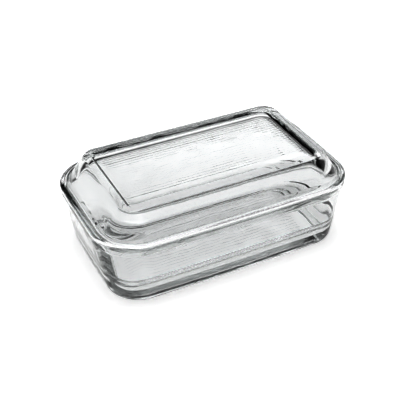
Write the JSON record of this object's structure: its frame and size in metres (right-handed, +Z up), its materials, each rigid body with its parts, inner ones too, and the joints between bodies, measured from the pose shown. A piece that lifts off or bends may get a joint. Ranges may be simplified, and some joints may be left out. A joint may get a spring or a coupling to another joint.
{
  "type": "butter dish",
  "caption": "Rectangular pressed-glass butter dish: a flared open dish with a rim ledge, and a lift-off lid with sloping walls and a ribbed, recessed top.",
  "frame": {"origin": "centre of the foot ring's resting plane", "axes": "+Z up, +X along the long sides, +Y along the short sides"},
  "size_m": [0.17, 0.104, 0.061],
  "materials": {
    "dish_glass": "clear pressed glass with a faint grey-green tint, fire-polished",
    "lid_glass": "clear pressed glass with a faint grey-green tint, fire-polished, fine ribs pressed in the top"
  },
  "bodies": {
    "dish": {"dish": "dish_glass"},
    "lid": {"lid": "lid_glass"}
  },
  "joints": [
    {"name": "lid_lift", "type": "slide", "parent": "dish", "child": "lid", "axis": [0, 0, 1], "range_m": [0, 0.1]}
  ]
}
